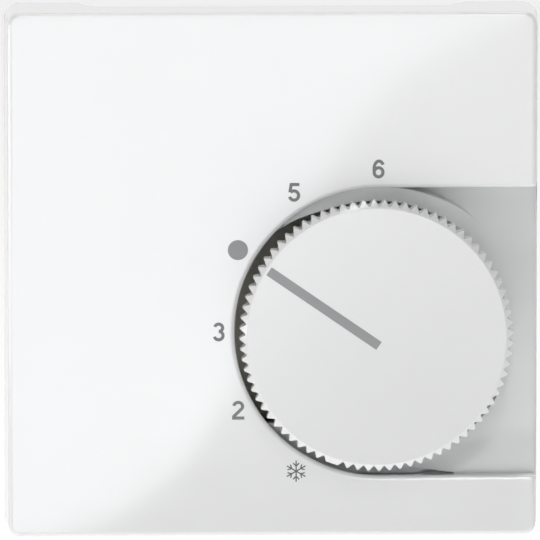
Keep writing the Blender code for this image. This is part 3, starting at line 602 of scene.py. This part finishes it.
def ledge():
    """The crescent step above the knob, which rises out of the recess floor and fades at both ends."""
    inner, outer = LEDGE_RADII
    start, end = LEDGE_ANGLES
    bm = bmesh.new()
    rings = []
    for i in range(LEDGE_STEPS + 1):
        angle = start + (end - start) * i / LEDGE_STEPS
        fade = smoothstep((angle - start) / LEDGE_FADES[0]) * smoothstep((end - angle) / LEDGE_FADES[1])
        top = FLOOR_Y - 0.02 - LEDGE_RISE * fade
        part = smoothstep((angle - LEDGE_TAPER[0]) / (LEDGE_TAPER[1] - LEDGE_TAPER[0]))
        near = inner + (outer - 4 * LEDGE_EDGE - inner) * part
        foot = FLOOR_Y + 1.2
        inside = ((near, foot), (near, top + LEDGE_EDGE), (near + LEDGE_EDGE, top))
        outside = ((outer - LEDGE_EDGE, top), (outer, top + LEDGE_EDGE), (outer + 0.12, foot))
        ring = []
        for section, middle in ((inside, KNOB_X), (outside, RECESS_X)):
            for radius, y in section:
                x, z = polar(radius, angle, middle, RECESS_Z)
                ring.append(bm.verts.new(Vector((x, y, z)) * MM))
        rings.append(ring)
    for low, high in zip(rings, rings[1:]):
        for i in range(len(low)):
            j = (i + 1) % len(low)
            bm.faces.new((low[i], low[j], high[j], high[i]))
    bm.faces.new(rings[0])
    bm.faces.new(rings[-1][::-1])
    bmesh.ops.recalc_face_normals(bm, faces=bm.faces)
    return link("ledge", bm)


def stop_post():
    """The post under the knob that limits its turning."""
    post = box(STOP_REACH, (STOP_FRONT_Y, FLOOR_Y + 0.2), (-STOP_HALF, STOP_HALF))
    return shift(turn(post, -STOP_ANGLE, "Y"), KNOB_X, 0, KNOB_Z)


def make_cover(material, satin_painted_shade_material):
    """The cover in its glossy plastic, with a satin recess whose greyer colour is painted shade."""
    tub = prism(tub_outline(), COVER_FRONT_Y + COVER_WALL / 2, FLOOR_REAR_Y)
    shell = join(cover_shell(), tub)
    recess = common(loft(recess_levels()), floor_space())
    shell = cut(shell, recess)
    through = (FLOOR_Y - 1.0, FLOOR_REAR_Y + 1.0)
    holes = [
        air_slot(1),
        air_slot(-1),
        cylinder(SPINDLE_HOLE, *through, KNOB_X, KNOB_Z),
        cylinder(SCREW_HOLE, *through, *SCREW_HOLE_PLACE),
        sector(AIR_GAP_RADII, AIR_GAP_ANGLES, *through),
        undercut(),
    ]
    shell = cut(shell, *holes)
    shell = join(shell, ledge(), stop_post())
    finish_piece(shell, "cover", material)
    shell.data.materials.append(satin_painted_shade_material)
    # The recess's faces take the second material, whose greyer colour paints the recess's shade.
    for face in shell.data.polygons:
        x, y, z = face.center / MM
        inside = math.hypot(min(0.0, x - RECESS_X), z - RECESS_Z) < RECESS_RADIUS + 0.02
        if inside and COVER_FRONT_Y + RECESS_EDGE - 0.01 < y < FLOOR_REAR_Y:
            face.material_index = 1
    return shell


# The knob


def tooth_outline():
    """The knob's toothed rim, with one double-width tooth."""
    pitch = 360.0 / KNOB_TEETH
    outline = []
    for i in range(KNOB_TEETH):
        middle = KNOB_TOOTH_OFFSET + i * pitch
        for along, height in TOOTH_SHAPE:
            angle = middle + along * pitch
            if abs((angle - KNOB_BLANK_TOOTH + 180) % 360 - 180) < 0.5 * pitch:
                height = BLANK_HEIGHT
            radius = KNOB_VALLEY_RADIUS + height * (KNOB_TIP_RADIUS - KNOB_VALLEY_RADIUS)
            outline.append(polar(radius, angle))
    return outline


def make_knob(material):
    """The knob: a toothed flange with a bevelled front, on a plain drum that is hollow round its hub."""
    rim = prism(tooth_outline(), KNOB_FRONT_Y - 0.5, KNOB_REAR_Y)
    envelope = turned(
        [
            (KNOB_FRONT_Y, KNOB_FACE_RADIUS - 0.05),
            (KNOB_FRONT_Y + 0.02, KNOB_FACE_RADIUS + 0.04),
            (KNOB_FRONT_Y + 0.07, KNOB_FACE_RADIUS + 0.1),
            (KNOB_FRONT_Y + 0.7, KNOB_TIP_RADIUS - 0.04),
            (KNOB_FRONT_Y + 0.9, KNOB_TIP_RADIUS + 0.1),
            (KNURL_REAR_Y - 0.15, KNOB_TIP_RADIUS + 0.1),
            (KNURL_REAR_Y, KNOB_TIP_RADIUS - 0.1),
            (DRUM_FRONT_Y, DRUM_RADIUS),
            (KNOB_REAR_Y + 1.0, DRUM_RADIUS),
        ],
        steps=320,
    )
    body = common(envelope, rim)
    inside_y = KNOB_FRONT_Y + KNOB_TOP
    levels = [(inside_y, KNOB_INNER_RADIUS), (OPEN_Y, KNOB_INNER_RADIUS)]
    levels += [(OPEN_Y, HUB_RADIUS), (inside_y, HUB_RADIUS)]
    hollow = loft([(y, circle(radius, 96)) for y, radius in levels], closed=True)
    hub_end = cylinder(KNOB_INNER_RADIUS - 1.0, HUB_REAR_Y, OPEN_Y)
    side = math.degrees(math.acos(SPINDLE_BORE_FLAT / SPINDLE_BORE))
    bore = prism(arc(SPINDLE_BORE, 90 + side, 450 - side, 40), inside_y, OPEN_Y)
    cut(body, hollow, hub_end, bore)
    shift(body, KNOB_X, 0, KNOB_Z)
    return finish_piece(body, "knob", material, 25.0)


# The follower's spring


def make_spring(material):
    """A coil that runs from the cam follower at its lower end to the insert at its upper end."""
    curve = bpy.data.curves.new("coil", "CURVE")
    curve.dimensions = "3D"
    curve.bevel_depth = SPRING_WIRE / 2 * MM
    curve.bevel_resolution = 3
    curve.use_fill_caps = True
    count = SPRING_TURNS * SPRING_STEPS
    spline = curve.splines.new("POLY")
    spline.points.add(count)
    low = SPRING_BOTTOM + SPRING_WIRE / 2
    high = SPRING_TOP - SPRING_WIRE / 2
    for i, point in enumerate(spline.points):
        x, y = polar(SPRING_RADIUS, 360 * i / SPRING_STEPS, KNOB_X, SPRING_Y)
        point.co = (x * MM, y * MM, (low + (high - low) * i / count) * MM, 1)
    coil = bpy.data.objects.new("coil", curve)
    bpy.context.collection.objects.link(coil)
    bpy.context.view_layer.update()
    mesh = bpy.data.meshes.new_from_object(coil.evaluated_get(bpy.context.evaluated_depsgraph_get()))
    bpy.data.objects.remove(coil)
    bm = bmesh.new()
    bm.from_mesh(mesh)
    bpy.data.meshes.remove(mesh)
    return finish_piece(link("return_spring", bm), "return_spring", material, 60.0)


# Printed marks


def flat_mark(outline, y, name, material):
    mark = prism(outline, y - PRINT_PROUD, y - PRINT_PROUD + PRINT_DEPTH)
    return finish_piece(mark, name, material)


def pointer_outline():
    start = Vector(POINTER_START)
    end = Vector(POINTER_END)
    along = (end - start).normalized()
    side = Vector((-along.y, along.x)) * POINTER_WIDTH / 2
    corners = (start - side, end - side, end + side, start + side)
    return [(KNOB_X + corner.x, KNOB_Z + corner.y) for corner in corners][::-1]


def ellipse(x, z, wide, high, start, end, steps=20):
    points = []
    for i in range(steps + 1):
        angle = math.radians(start + (end - start) * i / steps)
        points.append((x + wide * math.cos(angle), z + high * math.sin(angle)))
    return points


def stroke(line, y):
    """A flat pen stroke along a line of points."""
    left = []
    right = []
    for i, point in enumerate(line):
        here = Vector(point)
        before = Vector(line[max(0, i - 1)])
        after = Vector(line[min(len(line) - 1, i + 1)])
        arriving = (here - before).normalized() if i else (after - here).normalized()
        leaving = (after - here).normalized() if i < len(line) - 1 else arriving
        along = (arriving + leaving).normalized()
        reach = DIGIT_STROKE / 2 / max(0.5, along.dot(leaving))
        side = Vector((-along.y, along.x)) * reach
        left.append(tuple(here + side))
        right.append(tuple(here - side))
    return prism(left + right[::-1], y - PRINT_PROUD, y - PRINT_PROUD + PRINT_DEPTH)


def digit_lines(text):
    """The pen strokes of a plain digit, 1.3 mm wide and 1.9 mm high, from its middle."""
    if text == "2":
        hook = ellipse(0.0, 0.38, 0.43, 0.4, 172, -38)
        return [hook + [(-0.42, -0.6), (-0.45, -0.78)], [(-0.6, -0.78), (0.6, -0.78)]]
    if text == "3":
        return [ellipse(-0.02, 0.41, 0.39, 0.37, 165, -88), ellipse(-0.02, -0.36, 0.43, 0.42, 88, -165)]
    if text == "5":
        stem = [(-0.3, 0.86), (-0.43, 0.0)]
        return [[(0.5, 0.78), (-0.42, 0.78)], stem, ellipse(-0.03, -0.31, 0.45, 0.46, 138, -165)]
    bowl = ellipse(0.0, -0.32, 0.43, 0.45, 0, 360, 40)
    return [bowl, ellipse(0.04, 0.02, 0.48, 0.77, 32, 196, 30)]


def scale_place(mark):
    degrees, radius = SCALE[mark]
    return polar(radius, degrees, KNOB_X, KNOB_Z)


def make_digit(text, material):
    strokes = []
    for line in digit_lines(text):
        strokes.append(stroke([(x * DIGIT_SCALE, z * DIGIT_SCALE) for x, z in line], COVER_FRONT_Y))
    piece = join(strokes[0], *strokes[1:]) if len(strokes) > 1 else strokes[0]
    x, z = scale_place(text)
    shift(piece, x, 0, z)
    return finish_piece(piece, "scale_" + text, material)


def make_snowflake(material):
    """Three crossing bars with a pair of twigs on each arm."""
    bars = []
    x, z = scale_place("frost")
    y0 = COVER_FRONT_Y - PRINT_PROUD
    y1 = y0 + PRINT_DEPTH
    width = (-FLAKE_STROKE / 2, FLAKE_STROKE / 2)
    for arm in range(3):
        bars.append(turn(box((-FLAKE_REACH, FLAKE_REACH), (y0, y1), width), -90 - 60 * arm, "Y"))
    for arm in range(6):
        for lean in (-1, 1):
            twig = turn(box((0.0, FLAKE_TWIG), (y0, y1), width), -45 * lean, "Y")
            bars.append(turn(shift(twig, FLAKE_TWIG_PLACE), -30 - 60 * arm, "Y"))
    flake = join(bars[0], *bars[1:])
    shift(flake, x, 0, z)
    return finish_piece(flake, "scale_frost", material)


def make_scale(materials):
    marks = [make_digit(text, materials["digit_print"]) for text in ("6", "5", "3", "2")]
    x, z = scale_place("dot")
    dot = circle(DOT_RADIUS, 64, x, z)
    marks.append(flat_mark(dot, COVER_FRONT_Y, "scale_dot", materials["print"]))
    marks.append(make_snowflake(materials["dark_print"]))
    return marks


# The scene


def aim(piece, target):
    piece.rotation_euler = (Vector(target) - piece.location).to_track_quat("-Z", "Y").to_euler()


def make_camera():
    azimuth = math.radians(CAMERA_AZIMUTH)
    elevation = math.radians(CAMERA_ELEVATION)
    target = Vector(CAMERA_TARGET) * MM
    away = Vector(
        (
            math.cos(elevation) * math.sin(azimuth),
            -math.cos(elevation) * math.cos(azimuth),
            math.sin(elevation),
        )
    )
    data = bpy.data.cameras.new("camera")
    data.lens = CAMERA_LENS
    data.sensor_width = 36.0
    data.clip_start = 0.01
    data.clip_end = 20.0
    camera = bpy.data.objects.new("camera", data)
    camera.location = target + away * CAMERA_DISTANCE * MM
    bpy.context.collection.objects.link(camera)
    aim(camera, target)
    bpy.context.scene.camera = camera


def glow(name, colour, strength):
    """A light panel's own even glow."""
    material = bpy.data.materials.new(name)
    material.use_nodes = True
    tree = material.node_tree
    tree.nodes.clear()
    emission = tree.nodes.new("ShaderNodeEmission")
    emission.inputs["Color"].default_value = (*colour, 1.0)
    emission.inputs["Strength"].default_value = strength
    output = tree.nodes.new("ShaderNodeOutputMaterial")
    tree.links.new(emission.outputs["Emission"], output.inputs["Surface"])
    return material


def fading_glow(name, colour, strength, dark, bright):
    """A glow that grows from nothing at height dark to its full strength at height bright, in metres."""
    material = glow(name, colour, strength)
    tree = material.node_tree
    place = tree.nodes.new("ShaderNodeTexCoord")
    split = tree.nodes.new("ShaderNodeSeparateXYZ")
    tree.links.new(place.outputs["Object"], split.inputs["Vector"])
    spread = tree.nodes.new("ShaderNodeMapRange")
    spread.interpolation_type = "SMOOTHSTEP"
    spread.inputs["From Min"].default_value = dark
    spread.inputs["From Max"].default_value = bright
    spread.inputs["To Max"].default_value = strength
    tree.links.new(split.outputs["Z"], spread.inputs["Value"])
    tree.links.new(spread.outputs["Result"], tree.nodes["Emission"].inputs["Strength"])
    return material


def panel_place(x, z):
    """Where the panels stand for the front to mirror them at (x, z), in metres."""
    scale = 1 + PANEL_DISTANCE / CAMERA_DISTANCE
    across = PANEL_DISTANCE * math.tan(math.radians(-CAMERA_AZIMUTH))
    down = PANEL_DISTANCE * math.tan(math.radians(CAMERA_ELEVATION))
    return Vector((across + scale * x, -PANEL_DISTANCE, scale * z - down)) * MM


def make_panel(name, sides, material):
    """A studio panel between two curves, each given as its x at a height z on the front."""
    bm = bmesh.new()
    rows = []
    for z in grid_lines(-PANEL_REACH, PANEL_REACH, 1.0):
        rows.append([bm.verts.new(panel_place(side(z), z)) for side in sides])
    for low, high in zip(rows, rows[1:]):
        bm.faces.new((low[0], low[1], high[1], high[0]))
    panel = link(name, bm)
    panel.data.materials.append(material)
    panel.visible_camera = False


def swept_edge(z):
    """The gentle S that divides the bright panel from the dim one."""
    return 0.9 + 0.43 * z + 7.5 * (z / 25.0) ** 5


def make_panels():
    """A bright panel on the left and a dim one on the right, low in front, which the glossy front mirrors."""
    bright = glow("softbox", (0.95, 0.975, 1.0), SOFTBOX_GLOW)
    fade = [panel_place(0.0, z).z for z in SHADE_FADE]
    dim = fading_glow("shade", (1.0, 1.0, 1.0), SHADE_GLOW, *fade)
    make_panel("softbox", (lambda z: -PANEL_REACH, swept_edge), bright)
    make_panel("shade", (swept_edge, lambda z: PANEL_REACH), dim)


def make_light(name, location, size, power):
    data = bpy.data.lights.new(name, "AREA")
    data.shape = "RECTANGLE"
    data.size, data.size_y = size
    data.energy = power
    light = bpy.data.objects.new(name, data)
    light.location = location
    light.visible_camera = False
    bpy.context.collection.objects.link(light)
    aim(light, (0.0, 0.0, 0.0))


def make_world():
    """A white backdrop behind the object, as the camera sees it on every side, and a dim room in front."""
    world = bpy.data.worlds.new("world")
    world.use_nodes = True
    tree = world.node_tree
    place = tree.nodes.new("ShaderNodeTexCoord")
    split = tree.nodes.new("ShaderNodeSeparateXYZ")
    tree.links.new(place.outputs["Generated"], split.inputs["Vector"])
    fade = tree.nodes.new("ShaderNodeMapRange")
    fade.interpolation_type = "SMOOTHSTEP"
    fade.inputs["From Min"].default_value = -0.1
    fade.inputs["From Max"].default_value = 0.2
    fade.inputs["To Min"].default_value = ROOM_LIGHT
    fade.inputs["To Max"].default_value = BACKDROP_LIGHT
    tree.links.new(split.outputs["Y"], fade.inputs["Value"])
    ray = tree.nodes.new("ShaderNodeLightPath")
    brightest = tree.nodes.new("ShaderNodeMath")
    brightest.operation = "MAXIMUM"
    tree.links.new(ray.outputs["Is Camera Ray"], brightest.inputs[0])
    tree.links.new(fade.outputs["Result"], brightest.inputs[1])
    background = tree.nodes["Background"]
    background.inputs["Color"].default_value = (1.0, 1.0, 1.0, 1.0)
    tree.links.new(brightest.outputs["Value"], background.inputs["Strength"])
    bpy.context.scene.world = world


def make_floor():
    bm = bmesh.new()
    bmesh.ops.create_grid(bm, x_segments=1, y_segments=1, size=4.0)
    floor = link("floor", bm)
    floor.location = (0.0, 0.0, GROUND_Z * MM)
    material = bpy.data.materials.new("floor")
    material.use_nodes = True
    shader = material.node_tree.nodes["Principled BSDF"]
    shader.inputs["Base Color"].default_value = (0.95, 0.95, 0.95, 1.0)
    shader.inputs["Roughness"].default_value = 0.9
    shader.inputs["Emission Color"].default_value = (1.0, 1.0, 1.0, 1.0)
    shader.inputs["Emission Strength"].default_value = GROUND_GLOW
    floor.data.materials.append(material)


def make_stage():
    bpy.context.scene.view_settings.view_transform = "Standard"
    make_world()
    make_floor()
    make_panels()
    for name, (location, size, power) in LIGHTS.items():
        make_light(name, location, size, power)


def dress_nodes(materials):
    """Every CAD node gets its slot's finish and softened edges."""
    for part in frame["record"]["subparts"]:
        node = frame["nodes"][part["node"]]
        material = materials[part["material_slot"]]
        for slot in node.material_slots:
            slot.material = material
        low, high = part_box(part["node"])
        thickness = min(high - low)
        weld = node.modifiers.new("weld", "WELD")
        weld.merge_threshold = WELD_DISTANCE * MM
        bevel = node.modifiers.new("edges", "BEVEL")
        bevel.limit_method = "ANGLE"
        bevel.angle_limit = math.radians(EDGE_ANGLE)
        bevel.width = min(EDGE_WIDTH * MM, thickness * EDGE_SHARE)
        bevel.segments = 2
        bevel.harden_normals = False


def main():
    make_camera()
    make_stage()
    materials = make_materials()
    dress_nodes(materials)
    cover = make_cover(materials["white_gloss_plastic"], materials["recess"])
    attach(cover, "insert")
    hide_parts("cover_plate")
    for mark in make_scale(materials):
        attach(mark, "insert")
    knob = make_knob(materials["white_knob_plastic"])
    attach(knob, "knob")
    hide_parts("setting_knob")
    pointer = flat_mark(pointer_outline(), KNOB_FRONT_Y, "pointer", materials["print"])
    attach(pointer, "knob")
    spring = make_spring(materials["zinc_steel"])
    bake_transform(spring)
    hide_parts("follower_spring")


main()
